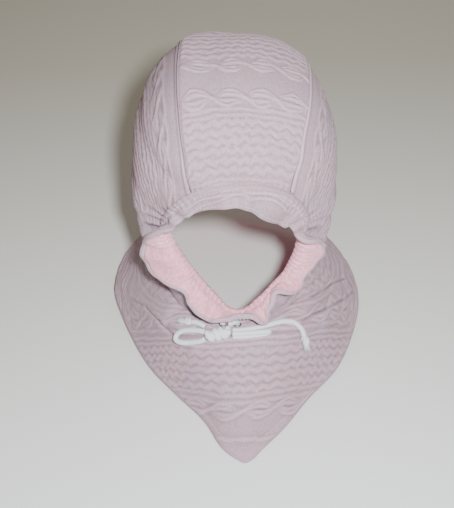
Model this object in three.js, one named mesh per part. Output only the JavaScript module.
import * as THREE from 'three';

// Knitted hood with a gathered face edge and a pointed bib, in millimetres.
// While it is built, z = 0 is the ear line, the face looks along -Y and +X is the wearer's left.
// At the end the whole hood is lowered, so that the origin is the top of the lining inside the crown.

// Cloth
const KNIT_WALL = 2.5;
const FLEECE_WALL = 2;
const GAP = 0.3;

// Hood, measured from the ear line
const HALF_WIDTH = 87;
const BROW_REACH = 94;
const NAPE_REACH = 104;
const CROWN_RISE = 121;
const SIDE_BOXINESS = 2.6;
const ROUNDNESS = 2.5;
const CROWN_LEAN = 5;
const CROWN_DROP = 7;

// Face opening: the ring where the drawstring channel begins
const OPENING_RADIUS = 78;
const OPENING_DROP = 12;
const CHEEK_INSET = 17;
const INSET_FADE = 48;
const INSET_END = 0.4;
const CHIN_BAND = 8;
const NAPE_LIFT = 5;

// Cloth standing up along the seams of the crown strip, on the wearer's right and left
const SEAM_SWELL = { right: 5, left: 2 };
const SWELL_FADE = 0.7;

// Gathered edge of the face opening
const RUFFLE_WIDTH = 24;
const CHANNEL_RISE = 2.2;
const GATHER_DEPTH = 1.5;
const GATHER_COUNT = 18;
const GATHER_DRIFT = { count: 7, amount: 1.4 };
const GATHER_START = 0.15;
const GATHER_FULL = 0.7;
const RUFFLE_RISE = 0.4;

// Neck and bib
const BIB_RADIUS = 130;
const BIB_POINT = 57.6;
const POINT_FADE = 7;
const BIB_DROP = 69;
const BIB_BACK_LIFT = 12;
const FOLD_LIFT = 6;
const FOLD_WIDTH = 9;

// Drawstring: a round cord through two eyelets below the chin, tied in a bow on the bib
const CORD_DIAMETER = 4.5;
const CORD_SIDES = 8;
const CORD_STEP = 1.2;
const EYELET_WIDTH = 8.2;
const EYELET_HEIGHT = 1;
const EYELET_SIDES = 14;
const EYELET_REACH = 93;
const EYELETS = { right: -8.4, left: -0.8 };
const KNOT_SIZE = { length: 22, depth: 10, height: 9 };
const KNOT_PLACE = [-18.5, -103.2, -88.1];
const KNOT_TILT = 12;
const KNOT_SIDES = 14;
const KNOT_RINGS = 9;
const END_KNOT_WIDTH = 7.6;
const END_KNOT_SIDES = 10;
const TUFT_LENGTH = 8;

// Routes of the cord's visible stretches, chosen by hand, each ending just short of a knot
const LEAD_RIGHT = [[-13.6, -92, -87.7], [-13.6, -92, -85], [-13.8, -93.8, -82.8], [-14.3, -97.2, -82.4]];
const LEAD_LEFT = [[-1.3, -93, -87.9], [-1.3, -93, -85], [-3.4, -94.8, -83], [-9.2, -98, -82]];
const LOOP_RIGHT = [
  [-30.2, -99.4, -88.8], [-34.5, -97.4, -89.6], [-40, -95, -91.2], [-46, -93, -93.4], [-51.4, -91.8, -96.6],
  [-55, -92.6, -100.2], [-55.4, -96, -102.4], [-51, -99.2, -102.2], [-45, -101, -100.8],
  [-39, -102.8, -98], [-34, -104, -95.8], [-30.2, -104.2, -93],
];
const LOOP_LEFT = [
  [-6, -105.2, -89.6], [0, -105.4, -90], [7, -105.2, -90], [14, -104.4, -90], [20, -103.6, -90.2],
  [24.8, -103.2, -89], [25.4, -104.2, -86], [21, -105.4, -84.8], [14, -105.9, -84.8],
  [7, -106.2, -84.8], [0, -106.4, -84.8], [-6.2, -106.2, -84.6],
];
const TAIL_RIGHT = [[-29.4, -96, -85.6], [-33, -93.4, -85.4], [-37, -90.6, -85.8], [-40.6, -89.2, -86.8]];
const TAIL_LEFT = [
  [-5.8, -100.8, -87], [0, -100.6, -87.2], [7, -99.9, -87.1], [14, -98.9, -87], [20, -97.6, -87],
  [26, -96, -87], [32, -94, -87.1], [38, -92, -87.8], [43.5, -91, -89], [48.8, -90.8, -91],
  [53, -92.2, -94.2], [56.4, -94.8, -98.2], [57.6, -97.8, -102.4],
];

// Grid counts: columns go round the face opening, rows from the front to the back.
// Each hood column carries on into the bib, and up to BIB_FRONT degrees from the point
// the bib has a column more between each two, and POINT_PARTS steps beside the point.
const HOOD_COLUMNS = 36;
const HOOD_ROWS = 14;
const RUFFLE_COLUMNS = 72;
const BIB_FRONT = 50;
const POINT_PARTS = 4;
const RELAX_ROUNDS = 120;
const RAY_STEPS = 36;

// Where two walls meet at an angle, their shared offset is at most this many times shorter than square
const MITRE_LIMIT = 0.6;

// Hood below the ear line, as shares of the half width and of the reaches
const LOWER_SHAPE = [
  { drop: 0, width: 1, front: 1, back: 1 },
  { drop: 0.24, width: 0.98, front: 1, back: 0.98 },
  { drop: 0.48, width: 0.93, front: 0.99, back: 0.92 },
  { drop: 0.68, width: 0.86, front: 0.97, back: 0.82 },
  { drop: 0.83, width: 0.8, front: 0.955, back: 0.72 },
  { drop: 0.95, width: 0.76, front: 0.94, back: 0.66 },
  { drop: 1.2, width: 0.74, front: 0.92, back: 0.62 },
];

// Face opening by degrees from the brow towards the wearer's left:
// radius as a share of OPENING_RADIUS, inset as a share of CHEEK_INSET
const OPENING = [
  { at: 0, radius: 0.985, inset: 0 },
  { at: 26, radius: 0.985, inset: 0 },
  { at: 42, radius: 0.91, inset: 0.06 },
  { at: 56, radius: 0.84, inset: 0.3 },
  { at: 72, radius: 0.75, inset: 0.65 },
  { at: 90, radius: 0.71, inset: 0.95 },
  { at: 108, radius: 0.715, inset: 1 },
  { at: 130, radius: 0.74, inset: 0.8 },
  { at: 146, radius: 0.725, inset: 0.5 },
  { at: 160, radius: 0.76, inset: 0.25 },
  { at: 170, radius: 0.83, inset: 0.08 },
  { at: 180, radius: 0.87, inset: 0 },
  { at: 190, radius: 0.83, inset: 0.06 },
  { at: 202, radius: 0.73, inset: 0.35 },
  { at: 220, radius: 0.655, inset: 0.6 },
  { at: 242, radius: 0.64, inset: 0.8 },
  { at: 262, radius: 0.7, inset: 1 },
  { at: 285, radius: 0.8, inset: 0.85 },
  { at: 302, radius: 0.86, inset: 0.5 },
  { at: 318, radius: 0.94, inset: 0.12 },
  { at: 332, radius: 0.985, inset: 0 },
];

// Lobes and notches of the gathered edge: reach as a share of RUFFLE_WIDTH,
// turn in degrees from straight forward to straight outward
const RUFFLE = [
  { at: 4, reach: 0.8, turn: -49 },
  { at: 18, reach: 1.1, turn: -66 },
  { at: 35, reach: 1.1, turn: -72 },
  { at: 56, reach: 0.7, turn: -60 },
  { at: 69, reach: 0.56, turn: -34 },
  { at: 79, reach: 0.5, turn: 14 },
  { at: 88, reach: 0.55, turn: 62 },
  { at: 96, reach: 0.72, turn: 98 },
  { at: 106, reach: 0.97, turn: 112 },
  { at: 117, reach: 0.83, turn: 106 },
  { at: 123, reach: 0.54, turn: 75 },
  { at: 134, reach: 0.64, turn: 75 },
  { at: 142, reach: 0.54, turn: -5 },
  { at: 152, reach: 0.6, turn: 14 },
  { at: 159, reach: 0.78, turn: 38 },
  { at: 171, reach: 0.66, turn: -15 },
  { at: 182, reach: 0.8, turn: -38 },
  { at: 191, reach: 0.73, turn: -18 },
  { at: 200, reach: 0.82, turn: 20 },
  { at: 211, reach: 0.9, turn: 32 },
  { at: 222, reach: 0.78, turn: 45 },
  { at: 233, reach: 0.66, turn: 45 },
  { at: 240, reach: 1, turn: 92 },
  { at: 247, reach: 1.32, turn: 106 },
  { at: 258, reach: 1.2, turn: 111 },
  { at: 271, reach: 0.75, turn: 104 },
  { at: 288, reach: 0.52, turn: 25 },
  { at: 303, reach: 0.52, turn: -20 },
  { at: 320, reach: 0.56, turn: -60 },
  { at: 337, reach: 0.68, turn: -55 },
  { at: 353, reach: 0.72, turn: -43 },
];

// Seams by degrees about the ear line, from the brow over the crown to the nape:
// distance from the middle as a share of HALF_WIDTH, on the wearer's right and left
const SEAMS = [
  { at: 36, right: 0.45, left: 0.43 },
  { at: 60, right: 0.5, left: 0.53 },
  { at: 90, right: 0.5, left: 0.62 },
  { at: 115, right: 0.48, left: 0.66 },
  { at: 150, right: 0.44, left: 0.64 },
  { at: 185, right: 0.4, left: 0.54 },
  { at: 225, right: 0.36, left: 0.46 },
];

// Rows of the gathered edge as shares of its reach, counted from the channel
const RUFFLE_ROWS = [1, 0.82, 0.74, 0.46, 0.21, 0];
const CHANNEL_SHARE = 0.42;
const HEM_SHARE = 0.76;

// Bib rim by degrees from the point towards the wearer's left: round as a share of BIB_RADIUS,
// point as a share of BIB_POINT, lift as a share of BIB_BACK_LIFT
const RIM = [
  { at: 0, round: 1, point: 1, lift: 0 },
  { at: 2.4, round: 1, point: 0.95, lift: 0 },
  { at: 5, round: 1, point: 0.82, lift: 0 },
  { at: 11, round: 0.99, point: 0.62, lift: 0 },
  { at: 25, round: 0.96, point: 0.29, lift: 0.05 },
  { at: 45, round: 0.955, point: 0.12, lift: 0.1 },
  { at: 65, round: 0.96, point: 0, lift: 0.2 },
  { at: 90, round: 0.97, point: 0, lift: 0.35 },
  { at: 130, round: 0.98, point: 0, lift: 0.8 },
  { at: 180, round: 1, point: 0, lift: 1 },
  { at: 230, round: 0.98, point: 0, lift: 0.8 },
  { at: 262, round: 0.93, point: 0, lift: 0.35 },
  { at: 280, round: 0.865, point: 0, lift: 0.2 },
  { at: 297, round: 0.845, point: 0.02, lift: 0.12 },
  { at: 317, round: 0.86, point: 0.11, lift: 0.08 },
  { at: 335, round: 0.9, point: 0.24, lift: 0.03 },
  { at: 348, round: 0.93, point: 0.53, lift: 0 },
  { at: 354, round: 0.96, point: 0.86, lift: 0 },
  { at: 357.6, round: 0.985, point: 0.96, lift: 0 },
];

// Section of the bib from the neck seam to the rim: shares of its reach and of its drop
const BIB_SECTION = [
  { at: 0, out: 0, drop: 0 },
  { at: 0.12, out: 0.12, drop: 0.01 },
  { at: 0.25, out: 0.25, drop: 0.1 },
  { at: 0.5, out: 0.5, drop: 0.38 },
  { at: 0.75, out: 0.75, drop: 0.7 },
  { at: 1, out: 1, drop: 1 },
];
const BIB_ROWS = [1, 0.93, 0.8, 0.64, 0.48, 0.32, 0.16, 0];

// Soft folds of the bib, each along a line from one angle and section share to another:
// lift as a share of FOLD_LIFT, width as a share of FOLD_WIDTH
const FOLDS = [
  { from: 262, fromShare: 0.88, to: 289, toShare: 0.55, lift: 0.9, width: 1.3 },
  { from: 289, fromShare: 0.55, to: 318, toShare: 0.34, lift: 0.9, width: 1.1 },
  { from: 318, fromShare: 0.34, to: 338, toShare: 0.36, lift: 0.6, width: 0.9 },
  { from: 24, fromShare: 0.3, to: 48, toShare: 0.5, lift: 0.6, width: 0.8 },
  { from: 48, fromShare: 0.5, to: 88, toShare: 0.92, lift: 0.8, width: 1.1 },
  { from: 40, fromShare: 0.25, to: 72, toShare: 0.42, lift: 0.6, width: 0.9 },
  { from: 72, fromShare: 0.42, to: 102, toShare: 0.68, lift: 0.7, width: 1.1 },
];

// Profile of a cord's end knot and of the frayed tuft beyond it: radius as a share of the knot's own,
// heights as shares of the knot's width and of TUFT_LENGTH
const END_KNOT = [
  { radius: 0, knot: 0, tuft: 0 },
  { radius: 0.455, knot: 0, tuft: 0 },
  { radius: 0.9, knot: 0.25, tuft: 0 },
  { radius: 1, knot: 0.5, tuft: 0 },
  { radius: 0.85, knot: 0.8, tuft: 0 },
  { radius: 0.455, knot: 1, tuft: 0 },
  { radius: 0.55, knot: 1, tuft: 0.5 },
  { radius: 0.68, knot: 1, tuft: 1 },
  { radius: 0, knot: 1, tuft: 1 },
];

// Smooth curve through one column of a table, as a function of the first column.
// With a loop, such as 360 degrees, the last row leads back to the first.
function curve(rows, column, loop = 0) {
  const first = Object.keys(rows[0])[0];
  let list = rows.map((row) => [row[first], row[column]]);
  const start = list[0][0];
  if (loop) {
    const before = list.slice(-2).map(([place, value]) => [place - loop, value]);
    const after = list.slice(0, 3).map(([place, value]) => [place + loop, value]);
    list = [...before, ...list, ...after];
  }
  const last = list.length - 1;
  const slopes = list.slice(1).map(([place, value], i) => (value - list[i][1]) / (place - list[i][0]));
  const tangents = list.map((_, i) => (
    (slopes[Math.max(i - 1, 0)] + slopes[Math.min(i, last - 1)]) / 2
  ));
  return (place) => {
    const x = loop
      ? THREE.MathUtils.euclideanModulo(place - start, loop) + start
      : THREE.MathUtils.clamp(place, start, list[last][0]);
    let i = 0;
    while (i < last - 1 && x > list[i + 1][0]) i += 1;
    const span = list[i + 1][0] - list[i][0];
    const t = (x - list[i][0]) / span;
    const rise = (3 - 2 * t) * t * t;
    const bend = (1 - t) * tangents[i] - t * tangents[i + 1];
    return THREE.MathUtils.lerp(list[i][1], list[i + 1][1], rise) + span * t * (1 - t) * bend;
  };
}

const lowerWidth = curve(LOWER_SHAPE, 'width');
const lowerFront = curve(LOWER_SHAPE, 'front');
const lowerBack = curve(LOWER_SHAPE, 'back');
const openingRadius = curve(OPENING, 'radius', 360);
const openingInset = curve(OPENING, 'inset', 360);
const ruffleReach = curve(RUFFLE, 'reach', 360);
const ruffleTurn = curve(RUFFLE, 'turn', 360);
const seamPlace = { right: curve(SEAMS, 'right'), left: curve(SEAMS, 'left') };
const rimRound = curve(RIM, 'round', 360);
const rimPoint = curve(RIM, 'point', 360);
const rimLift = curve(RIM, 'lift', 360);
const sectionOut = curve(BIB_SECTION, 'out');
const sectionDrop = curve(BIB_SECTION, 'drop');

const radians = THREE.MathUtils.degToRad;
const point = (x, y, z) => new THREE.Vector3(x, y, z);
const mix = (a, b, t) => a.clone().lerp(b, t);

// Heights that follow from the sizes above
const chinHeight = -OPENING_DROP - OPENING_RADIUS * openingRadius(180);
const neckDrop = CHIN_BAND - chinHeight;
const rimHeight = -neckDrop - BIB_DROP;

// The hood's outer surface is where this reaches 1
function hoodLevel(p) {
  const drop = THREE.MathUtils.clamp(-p.z / neckDrop, 0, 1.2);
  const width = HALF_WIDTH * lowerWidth(drop);
  const reach = p.y < 0
    ? BROW_REACH * lowerFront(drop)
    : NAPE_REACH * lowerBack(drop);
  return (
    Math.abs(p.x / width) ** SIDE_BOXINESS +
    Math.abs(p.y / reach) ** ROUNDNESS +
    (Math.max(p.z, 0) / CROWN_RISE) ** ROUNDNESS
  );
}

// Point of the hood's surface on a ray
function onHood(start, direction) {
  let near = 0;
  let far = 3 * NAPE_REACH;
  const ray = direction.clone().normalize();
  for (let step = 0; step < RAY_STEPS; step += 1) {
    const middle = (near + far) / 2;
    if (hoodLevel(ray.clone().multiplyScalar(middle).add(start)) < 1) near = middle;
    else far = middle;
  }
  return ray.multiplyScalar(near).add(start);
}

function hoodNormal(p) {
  const step = 0.5;
  const slope = (axis) => {
    const ahead = p.clone().addScaledVector(axis, step);
    const behind = p.clone().addScaledVector(axis, -step);
    return hoodLevel(ahead) - hoodLevel(behind);
  };
  return point(slope(point(1, 0, 0)), slope(point(0, 1, 0)), slope(point(0, 0, 1))).normalize();
}

// How the crown sits: it leans to the wearer's left and stands higher on the right
function settled(p) {
  const height = Math.max(p.z, 0) / CROWN_RISE;
  p.x += CROWN_LEAN * height ** 1.5;
  p.z -= CROWN_DROP * (p.x / HALF_WIDTH) * height ** 2;
  return p;
}

// Curves that bound the panels
function openingPoint(degrees) {
  const radius = OPENING_RADIUS * openingRadius(degrees);
  const x = radius * Math.sin(radians(degrees));
  const z = radius * Math.cos(radians(degrees)) - OPENING_DROP;
  return onHood(point(x, 0, z), point(0, -1, 0));
}

function neckPoint(degrees) {
  const z = -neckDrop + NAPE_LIFT * (1 - Math.cos(radians(degrees))) / 2;
  return onHood(point(0, 0, z), point(Math.sin(radians(degrees)), -Math.cos(radians(degrees)), 0));
}

function seamPoint(side, degrees) {
  const x = (side === 'left' ? HALF_WIDTH : -HALF_WIDTH) * seamPlace[side](degrees);
  return onHood(point(x, 0, 0), point(0, -Math.cos(radians(degrees)), Math.sin(radians(degrees))));
}

// Corners of the crown strip, in degrees round the opening, about the ear line and round the neck
const SEAM_START = 30;
const SEAM_FIRST = 36;
const SEAM_LAST = 222;
const NECK_CORNER = { left: 148, right: 207 };

function seamCurve(side, v) {
  const p = seamPoint(side, SEAM_FIRST + (SEAM_LAST - SEAM_FIRST) * v);
  const front = openingPoint(side === 'left' ? SEAM_START : -SEAM_START);
  const back = neckPoint(NECK_CORNER[side]);
  p.addScaledVector(front.sub(seamPoint(side, SEAM_FIRST)), (1 - v) ** 4);
  p.addScaledVector(back.sub(seamPoint(side, SEAM_LAST)), v ** 4);
  return p;
}

const frontCurve = (v) => mix(openingPoint(180), neckPoint(0), v);

// Panels of the hood: bounds round the opening and the neck in degrees, and their two side curves
const PANELS = [
  {
    opening: [-SEAM_START, SEAM_START],
    neck: [NECK_CORNER.right, NECK_CORNER.left],
    sides: [(v) => seamCurve('right', v), (v) => seamCurve('left', v)],
  },
  {
    opening: [SEAM_START, 180],
    neck: [NECK_CORNER.left, 0],
    sides: [(v) => seamCurve('left', v), frontCurve],
  },
  {
    opening: [180, 360 - SEAM_START],
    neck: [360, NECK_CORNER.right],
    sides: [frontCurve, (v) => seamCurve('right', v)],
  },
];

// Point of a panel: its four edges blended and laid on the hood
function panelPoint(panel, u, v) {
  const opening = (t) => openingPoint(THREE.MathUtils.lerp(...panel.opening, t));
  const neck = (t) => neckPoint(THREE.MathUtils.lerp(...panel.neck, t));
  const across = mix(panel.sides[0](v), panel.sides[1](v), u);
  const along = mix(opening(u), neck(u), v);
  const corners = mix(mix(opening(0), opening(1), u), mix(neck(0), neck(1), u), v);
  return onHood(point(0, 0, 0), across.add(along).sub(corners));
}

// Spreads the inner points of a block of columns over the hood without folds: each point goes to
// the mean of its neighbours, where close neighbours count for more and the twist is taken out
function relax(columns) {
  const inner = (i, j) => {
    const [left, right] = [columns[i - 1][j], columns[i + 1][j]];
    const [front, back] = [columns[i][j - 1], columns[i][j + 1]];
    const across = right.clone().sub(left);
    const along = back.clone().sub(front);
    const twist = columns[i + 1][j + 1].clone().sub(columns[i - 1][j + 1])
      .sub(columns[i + 1][j - 1]).add(columns[i - 1][j - 1]);
    const sum = left.clone().add(right).multiplyScalar(along.lengthSq());
    sum.addScaledVector(front.clone().add(back), across.lengthSq());
    sum.addScaledVector(twist, -across.dot(along) / 2);
    return sum.divideScalar(2 * (along.lengthSq() + across.lengthSq()));
  };
  for (let round = 0; round < RELAX_ROUNDS; round += 1) {
    for (let i = 1; i < columns.length - 1; i += 1) {
      for (let j = 1; j < HOOD_ROWS; j += 1) columns[i][j].copy(onHood(point(0, 0, 0), inner(i, j)));
    }
  }
}

// Draws the cloth in at the cheeks, less and less away from the opening and not at the neck
function drawIn(column, degrees) {
  const start = column[0].clone();
  column.forEach((p, j) => {
    const fade = THREE.MathUtils.smoothstep(p.distanceTo(start), 0, INSET_FADE);
    const end = THREE.MathUtils.smoothstep(j / HOOD_ROWS, INSET_END, 1);
    p.y += CHEEK_INSET * openingInset(degrees) * (1 - fade) * (1 - end);
  });
}

// Grid of points and outward directions. Columns go round, rows from the front to the back.
function makeSheet(places, rows, pointAt) {
  const points = places.map((place) => rows.map((row) => pointAt(place, row)));
  return { points, closed: true, normals: sheetNormals(points) };
}

function sheetNormals(points) {
  const count = points.length;
  return points.map((column, i) => column.map((p, j) => {
    const across = points[(i + 1) % count][j].clone().sub(points[(i + count - 1) % count][j]);
    const along = column[Math.min(j + 1, column.length - 1)].clone().sub(column[Math.max(j - 1, 0)]);
    return across.cross(along).normalize();
  }));
}

// Direction in which two walls that meet at an angle share their offset
function mitre(a, b) {
  const middle = a.clone().add(b).normalize();
  return middle.divideScalar(Math.max(middle.dot(a), MITRE_LIMIT));
}

// A sheet's points, with those of its edges drawn back by half a gap, square to the edge
function drawnBack(sheet, backGap) {
  const { points, closed } = sheet;
  const columns = points.length;
  const rows = points[0].length;
  const column = (i) => (closed ? (i + columns) % columns : THREE.MathUtils.clamp(i, 0, columns - 1));
  const inward = (p, neighbour, edge, distance) => {
    const direction = neighbour.clone().sub(p);
    direction.addScaledVector(edge, -direction.dot(edge) / edge.lengthSq());
    return direction.setLength(distance);
  };
  return points.map((line, i) => line.map((p, j) => {
    const moved = p.clone();
    const round = points[column(i + 1)][j].clone().sub(points[column(i - 1)][j]);
    const back = line[Math.min(j + 1, rows - 1)].clone().sub(line[Math.max(j - 1, 0)]);
    if (j === 0) moved.add(inward(p, line[1], round, GAP / 2));
    if (j === rows - 1) moved.add(inward(p, line[rows - 2], round, backGap));
    if (!closed && i === 0) moved.add(inward(p, points[1][j], back, GAP / 2));
    if (!closed && i === columns - 1) moved.add(inward(p, points[columns - 2][j], back, GAP / 2));
    return moved;
  }));
}

// Closed wall of cloth between two depths below a sheet
function clothWall(sheet, outerDepth, innerDepth, backGap = GAP / 2) {
  const { points, normals, closed } = sheet;
  const columns = points.length;
  const rows = points[0].length;
  const trimmed = drawnBack(sheet, backGap);
  const positions = [];
  for (const depth of [outerDepth, innerDepth]) {
    trimmed.forEach((column, i) => column.forEach((p, j) => {
      positions.push(...p.clone().addScaledVector(normals[i][j], -depth(i, j)));
    }));
  }
  const index = [];
  const vertex = (layer, i, j) => (layer * columns + (i % columns)) * rows + j;
  const quad = (a, b, c, d) => index.push(a, b, c, a, c, d);
  const lastColumn = closed ? columns : columns - 1;
  for (let i = 0; i < lastColumn; i += 1) {
    for (let j = 0; j < rows - 1; j += 1) {
      quad(vertex(0, i, j), vertex(0, i + 1, j), vertex(0, i + 1, j + 1), vertex(0, i, j + 1));
      quad(vertex(1, i, j), vertex(1, i, j + 1), vertex(1, i + 1, j + 1), vertex(1, i + 1, j));
    }
    quad(vertex(0, i, 0), vertex(1, i, 0), vertex(1, i + 1, 0), vertex(0, i + 1, 0));
    const end = rows - 1;
    quad(vertex(0, i, end), vertex(0, i + 1, end), vertex(1, i + 1, end), vertex(1, i, end));
  }
  if (!closed) {
    for (let j = 0; j < rows - 1; j += 1) {
      const end = columns - 1;
      quad(vertex(0, 0, j), vertex(0, 0, j + 1), vertex(1, 0, j + 1), vertex(1, 0, j));
      quad(vertex(0, end, j), vertex(1, end, j), vertex(1, end, j + 1), vertex(0, end, j + 1));
    }
  }
  const geometry = new THREE.BufferGeometry();
  geometry.setAttribute('position', new THREE.Float32BufferAttribute(positions, 3));
  geometry.setIndex(index);
  geometry.computeVertexNormals();
  return geometry;
}

// Some of a sheet's columns
function sheetPart(sheet, first, last) {
  const count = sheet.points.length;
  const columns = [];
  for (let i = first; i <= last; i += 1) columns.push((i + count) % count);
  return {
    points: columns.map((i) => sheet.points[i]),
    normals: columns.map((i) => sheet.normals[i]),
    closed: false,
  };
}

// Gathered edge: from the free edge back to the channel ring
function ruffleBase(degrees, share) {
  const start = openingPoint(degrees);
  start.y += CHEEK_INSET * openingInset(degrees);
  const reach = RUFFLE_WIDTH * ruffleReach(degrees);
  const lean = radians(ruffleTurn(degrees));
  const outward = point(Math.sin(radians(degrees)), 0, Math.cos(radians(degrees)));
  const forward = point(0, -1, 0);
  const middle = start.clone().addScaledVector(forward, RUFFLE_RISE * reach);
  const edge = start.clone()
    .addScaledVector(outward, reach * Math.sin(lean))
    .addScaledVector(forward, reach * Math.cos(lean));
  return mix(mix(start, middle, share), mix(middle, edge, share), share);
}

function gather(degrees, share) {
  const drift = GATHER_DRIFT.amount * Math.sin(radians(GATHER_DRIFT.count * degrees));
  const wave = Math.sin(radians(GATHER_COUNT * degrees) + drift);
  const lean = Math.max(radians(ruffleTurn(degrees)), 0);
  const channel = share < CHANNEL_SHARE ? Math.sin((Math.PI * share) / CHANNEL_SHARE) : 0;
  return CHANNEL_RISE * channel * Math.max(Math.cos(lean), 0)
    + GATHER_DEPTH * wave * THREE.MathUtils.smoothstep(share, GATHER_START, GATHER_FULL);
}

// Neck and bib: from the rim back to the neck seam
const rimReach = (degrees) => BIB_RADIUS * rimRound(degrees) + BIB_POINT * rimPoint(degrees);

// The point is sharp at the rim and fades towards the neck
function softReach(degrees) {
  const around = [-2, -1, 0, 1, 2].map((step) => rimReach(degrees + POINT_FADE * step));
  return around.reduce((sum, reach) => sum + reach) / around.length;
}

function bibPoint(degrees, share) {
  const start = neckPoint(degrees);
  const reach = THREE.MathUtils.lerp(softReach(degrees), rimReach(degrees), share ** 2);
  const low = rimHeight + BIB_BACK_LIFT * rimLift(degrees);
  const out = THREE.MathUtils.lerp(Math.hypot(start.x, start.y), reach, sectionOut(share));
  const height = THREE.MathUtils.lerp(start.z, low, sectionDrop(share));
  return point(out * Math.sin(radians(degrees)), -out * Math.cos(radians(degrees)), height);
}

function foldLift(degrees, share, p) {
  let lift = 0;
  for (const fold of FOLDS) {
    const start = bibPoint(fold.from, fold.fromShare);
    const line = bibPoint(fold.to, fold.toShare).sub(start);
    const along = THREE.MathUtils.clamp(p.clone().sub(start).dot(line) / line.lengthSq(), 0, 1);
    const away = p.distanceTo(start.addScaledVector(line, along)) / (FOLD_WIDTH * fold.width);
    lift = Math.max(lift, FOLD_LIFT * fold.lift * Math.exp(-away * away));
  }
  return lift * Math.min(1, 4 * share) * Math.min(1, 4 * (1 - share));
}

// Raises a sheet along its normals, which stay those of the plain form
function raise(sheet, amount) {
  sheet.points.forEach((column, i) => column.forEach((p, j) => {
    p.addScaledVector(sheet.normals[i][j], amount(i, j, p));
  }));
}

// Sheets of the whole hood
const steps = (count, span) => Array.from({ length: count }, (_, i) => (span * i) / count);
const hoodRows = Array.from({ length: HOOD_ROWS + 1 }, (_, j) => j / HOOD_ROWS);
const hoodTurns = steps(HOOD_COLUMNS, 360);
const seamColumn = (HOOD_COLUMNS * SEAM_START) / 360;

// The panel that a column lies on and its place across that panel
function panelAt(degrees) {
  const turned = degrees > 360 - SEAM_START ? degrees - 360 : degrees;
  const panel = PANELS.find(({ opening }) => turned >= opening[0] && turned <= opening[1]);
  return { panel, across: THREE.MathUtils.inverseLerp(...panel.opening, turned) };
}

const hoodPoints = hoodTurns.map((degrees) => {
  const { panel, across } = panelAt(degrees);
  return hoodRows.map((row) => panelPoint(panel, across, row));
});
relax(hoodPoints.slice(seamColumn, HOOD_COLUMNS / 2 + 1));
relax(hoodPoints.slice(HOOD_COLUMNS / 2, HOOD_COLUMNS - seamColumn + 1));
hoodPoints.forEach((column, i) => drawIn(column, hoodTurns[i]));
const hoodSheet = makeSheet(hoodTurns, hoodRows, (degrees, row) => (
  settled(hoodPoints[hoodTurns.indexOf(degrees)][hoodRows.indexOf(row)])
));

const ruffleTurns = steps(RUFFLE_COLUMNS, 360);
const ruffleSheet = makeSheet(ruffleTurns, RUFFLE_ROWS, (degrees, share) => (
  settled(ruffleBase(degrees, share))
));

// The step where the turned-in hem ends is square to the cloth
const firstFacingRow = RUFFLE_ROWS.findIndex((share) => share < HEM_SHARE);
ruffleSheet.normals.forEach((column) => {
  column[firstFacingRow - 1] = column[firstFacingRow];
});

// Angles round the neck at which the hood's columns end, and those that the bib adds between
const neckTurns = hoodTurns.map((degrees) => {
  const { panel, across } = panelAt(degrees);
  return THREE.MathUtils.lerp(...panel.neck, across);
});
const bibTurns = neckTurns.flatMap((degrees, i) => {
  const next = neckTurns[(i + 1) % HOOD_COLUMNS];
  if (Math.abs(next - degrees) > 180) return [degrees];
  const fromPoint = Math.min(degrees, next, 360 - degrees, 360 - next);
  let parts = 1;
  if (fromPoint < BIB_FRONT) parts = fromPoint < 1 ? POINT_PARTS : 2;
  return steps(parts, next - degrees).map((step) => degrees + step);
}).reverse();
const bibSheet = makeSheet(bibTurns, BIB_ROWS, bibPoint);

// Walls share one direction where the hood meets the gathered edge, and where it meets the bib
const lastRuffleRow = RUFFLE_ROWS.length - 1;
const lastBibRow = BIB_ROWS.length - 1;
const upward = point(0, 0, 1);
hoodSheet.normals.forEach((column, i) => {
  const edge = ruffleSheet.normals[(i * RUFFLE_COLUMNS) / HOOD_COLUMNS];
  column[0] = mitre(column[0], edge[lastRuffleRow]);
  edge[lastRuffleRow] = column[0];
  column[HOOD_ROWS] = mitre(hoodNormal(hoodSheet.points[i][HOOD_ROWS]), upward);
});
bibSheet.normals.forEach((column, i) => {
  column[lastBibRow] = mitre(hoodNormal(bibSheet.points[i][lastBibRow]), upward);
});

// Columns that the hood doesn't share end on the straight edge between the nearest two that it does
function straighten(sheet, row, shared) {
  const count = sheet.points.length;
  const nearest = (i, step) => {
    let steps = 0;
    while (!shared((i + step * steps + count) % count)) steps += 1;
    return steps;
  };
  sheet.points.forEach((column, i) => {
    if (shared(i)) return;
    const [back, ahead] = [nearest(i, -1), nearest(i, 1)];
    const [before, after] = [(i - back + count) % count, (i + ahead) % count];
    const share = back / (back + ahead);
    column[row] = mix(sheet.points[before][row], sheet.points[after][row], share);
    sheet.normals[i][row] = mix(sheet.normals[before][row], sheet.normals[after][row], share);
  });
}

straighten(ruffleSheet, lastRuffleRow, (i) => hoodTurns.includes(ruffleTurns[i]));
straighten(bibSheet, lastBibRow, (i) => neckTurns.includes(bibTurns[i]));

// Swell of the cloth beside the seams, full over the crown
function seamSwell(i, j) {
  const over = Math.sin(Math.PI * Math.min(2 * hoodRows[j], 1));
  const near = (seam) => Math.max(1 - SWELL_FADE * Math.abs(i - seam), 0);
  return over * (SEAM_SWELL.left * near(seamColumn) + SEAM_SWELL.right * near(HOOD_COLUMNS - seamColumn));
}

raise(hoodSheet, seamSwell);
raise(ruffleSheet, (i, j) => gather(ruffleTurns[i], RUFFLE_ROWS[j]));
raise(bibSheet, (i, j, p) => foldLift(bibTurns[i], BIB_ROWS[j], p));

// Depths of the walls below a sheet
const constant = (depth) => () => depth;
const knitDepth = constant(KNIT_WALL);
const fleeceTop = constant(KNIT_WALL + GAP);
const fleeceDepth = constant(KNIT_WALL + GAP + FLEECE_WALL);

// Crown strip and side panels
function crownStrip() {
  return clothWall(sheetPart(hoodSheet, -seamColumn, seamColumn), constant(0), knitDepth);
}

function sidePanel(first, last) {
  return clothWall(sheetPart(hoodSheet, first, last), constant(0), knitDepth);
}

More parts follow.
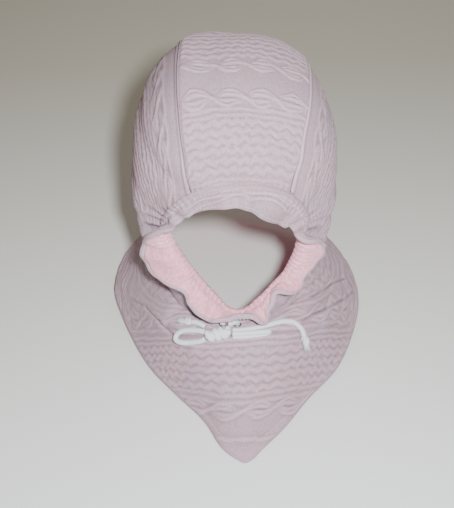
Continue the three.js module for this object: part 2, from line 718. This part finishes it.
// Linings
function hoodLining() {
  return clothWall(hoodSheet, fleeceTop, fleeceDepth);
}

function rowsOf(sheet, first, last) {
  return {
    points: sheet.points.map((column) => column.slice(first, last + 1)),
    normals: sheet.normals.map((column) => column.slice(first, last + 1)),
    closed: sheet.closed,
  };
}

function ruffleEdge() {
  const inner = (i, j) => (j < firstFacingRow ? fleeceDepth() : KNIT_WALL);
  return clothWall(ruffleSheet, constant(0), inner);
}

function ruffleFacing() {
  return clothWall(rowsOf(ruffleSheet, firstFacingRow, lastRuffleRow), fleeceTop, fleeceDepth);
}

function bibWall() {
  return clothWall(bibSheet, constant(0), knitDepth, GAP);
}

function bibLining() {
  return clothWall(rowsOf(bibSheet, 1, lastBibRow), fleeceTop, fleeceDepth, GAP);
}

// Cord, eyelets and knots
const place = (list) => list.map((coordinates) => point(...coordinates));

function cord(route) {
  const path = new THREE.CatmullRomCurve3(place(route), false, 'centripetal');
  const corners = Array.from({ length: CORD_SIDES }, (_, i) => {
    const turn = (2 * Math.PI * i) / CORD_SIDES;
    return new THREE.Vector2(Math.cos(turn), Math.sin(turn)).multiplyScalar(CORD_DIAMETER / 2);
  });
  const steps = Math.ceil(path.getLength() / (CORD_STEP * CORD_DIAMETER));
  const options = { steps, extrudePath: path, bevelEnabled: false };
  return new THREE.ExtrudeGeometry(new THREE.Shape(corners), options);
}

// A ring of the cord's clearance hole, lying on the neck of the bib
function eyelet(side) {
  const inner = CORD_DIAMETER / 2 + GAP;
  const outer = EYELET_WIDTH / 2;
  const half = EYELET_HEIGHT / 2;
  const edge = half / 2;
  const profile = [
    [inner, -half], [outer, -half], [outer - edge, half], [inner + edge, half], [inner, -half],
  ].map(([x, y]) => new THREE.Vector2(x, y));
  const ring = new THREE.LatheGeometry(profile, EYELET_SIDES);
  ring.rotateX(Math.PI / 2);
  const neck = neckPoint(EYELETS[side]).setZ(0).length();
  const share = THREE.MathUtils.inverseLerp(neck, softReach(EYELETS[side]), EYELET_REACH);
  const seat = bibPoint(EYELETS[side], share);
  return ring.translate(seat.x, seat.y, seat.z + half + GAP);
}

function bowKnot() {
  const knot = new THREE.SphereGeometry(1, KNOT_SIDES, KNOT_RINGS);
  knot.scale(KNOT_SIZE.length / 2, KNOT_SIZE.depth / 2, KNOT_SIZE.height / 2);
  knot.rotateY(-radians(KNOT_TILT));
  return knot.translate(...KNOT_PLACE);
}

// A small knot with a frayed tuft, carrying on from the end of a route
function endKnot(route) {
  const [before, end] = place(route.slice(-2));
  const profile = END_KNOT.map(({ radius, knot, tuft }) => (
    new THREE.Vector2((radius * END_KNOT_WIDTH) / 2, knot * END_KNOT_WIDTH + tuft * TUFT_LENGTH)
  ));
  const knot = new THREE.LatheGeometry(profile, END_KNOT_SIDES);
  const direction = end.clone().sub(before).normalize();
  knot.applyQuaternion(new THREE.Quaternion().setFromUnitVectors(point(0, 1, 0), direction));
  const seat = end.addScaledVector(direction, GAP);
  return knot.translate(seat.x, seat.y, seat.z);
}

// Materials
const finish = (color, roughness, metalness = 0) => (
  new THREE.MeshStandardMaterial({ color, roughness, metalness })
);
const knit = () => finish('#c1b6b9', 0.95);
const fleece = () => finish('#d6bac1', 1);
const cotton = () => finish('#e4e8ea', 0.9);
const metal = () => finish('#9a9799', 0.35, 1);

// Assembly
const hood = new THREE.Group();
function add(name, geometry, material) {
  const mesh = new THREE.Mesh(geometry, material);
  mesh.name = name;
  hood.add(mesh);
}

const halfTurn = HOOD_COLUMNS / 2;
add('crown_strip', crownStrip(), knit());
add('side_panel_left', sidePanel(seamColumn, halfTurn), knit());
add('side_panel_right', sidePanel(halfTurn, HOOD_COLUMNS - seamColumn), knit());
add('hood_lining', hoodLining(), fleece());
add('face_ruffle', ruffleEdge(), knit());
add('ruffle_facing', ruffleFacing(), fleece());
add('bib', bibWall(), knit());
add('bib_lining', bibLining(), fleece());

add('eyelet_right', eyelet('right'), metal());
add('eyelet_left', eyelet('left'), metal());
add('cord_lead_right', cord(LEAD_RIGHT), cotton());
add('cord_lead_left', cord(LEAD_LEFT), cotton());
add('bow_knot', bowKnot(), cotton());
add('bow_loop_right', cord(LOOP_RIGHT), cotton());
add('bow_loop_left', cord(LOOP_LEFT), cotton());
add('cord_tail_right', cord(TAIL_RIGHT), cotton());
add('cord_tail_left', cord(TAIL_LEFT), cotton());
add('end_knot_right', endKnot(TAIL_RIGHT), cotton());
add('end_knot_left', endKnot(TAIL_LEFT), cotton());

hood.position.z = -(CROWN_RISE - KNIT_WALL - GAP - FLEECE_WALL);

export default hood;
